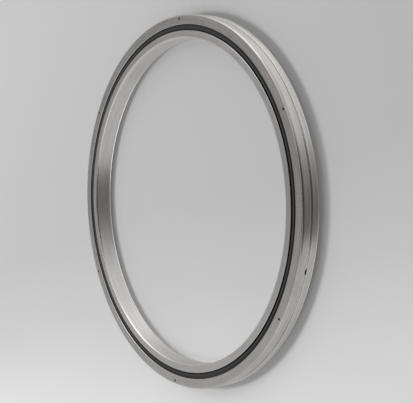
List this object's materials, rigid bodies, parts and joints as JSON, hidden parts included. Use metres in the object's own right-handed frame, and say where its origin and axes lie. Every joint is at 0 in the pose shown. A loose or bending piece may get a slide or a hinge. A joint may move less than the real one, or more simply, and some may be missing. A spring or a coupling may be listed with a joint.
{
  "type": "crossed roller bearing",
  "caption": "Slim sealed crossed roller bearing: split outer ring with oil groove and tie pins, inner ring with V raceway, crossed rollers between.",
  "frame": {"origin": "centre of the rear face, on the bearing's axis", "axes": "+Z along the bearing's axis, from the rear face to the front face; the bearing lies flat on its rear face; tie pin 1 is on +X"},
  "size_m": [0.4, 0.4, 0.02],
  "materials": {
    "ring_steel": "ground",
    "pin_steel": "blackened",
    "roller_steel": "polished",
    "seal_rubber": "matt"
  },
  "bodies": {
    "outer_ring": {"outer_ring_front": "ring_steel", "outer_ring_rear": "ring_steel", "front_seal": "seal_rubber", "rear_seal": "seal_rubber", "tie_pin_1": "pin_steel", "tie_pin_2": "pin_steel", "tie_pin_3": "pin_steel", "tie_pin_4": "pin_steel", "tie_pin_5": "pin_steel", "tie_pin_6": "pin_steel"},
    "inner_ring": {"inner_ring": "ring_steel"},
    "roller_set": {"roller_segment_01": "roller_steel", "roller_segment_02": "roller_steel", "roller_segment_03": "roller_steel", "roller_segment_04": "roller_steel", "roller_segment_05": "roller_steel", "roller_segment_06": "roller_steel", "roller_segment_07": "roller_steel", "roller_segment_08": "roller_steel", "roller_segment_09": "roller_steel", "roller_segment_10": "roller_steel", "roller_segment_11": "roller_steel", "roller_segment_12": "roller_steel", "roller_segment_13": "roller_steel", "roller_segment_14": "roller_steel", "roller_segment_15": "roller_steel", "roller_segment_16": "roller_steel", "roller_segment_17": "roller_steel", "roller_segment_18": "roller_steel", "roller_segment_19": "roller_steel", "roller_segment_20": "roller_steel", "roller_segment_21": "roller_steel", "roller_segment_22": "roller_steel", "roller_segment_23": "roller_steel", "roller_segment_24": "roller_steel"}
  },
  "joints": [
    {"name": "inner_ring_spin", "type": "hinge", "parent": "outer_ring", "child": "inner_ring", "pos_m": [0, 0, 0.01], "axis": [0, 0, 1], "continuous": true},
    {"name": "roller_set_orbit", "type": "hinge", "parent": "outer_ring", "child": "roller_set", "pos_m": [0, 0, 0.01], "axis": [0, 0, 1], "continuous": true}
  ],
  "couplings": [
    {"joint": "roller_set_orbit", "follows": "inner_ring_spin", "ratio": 0.4924}
  ]
}
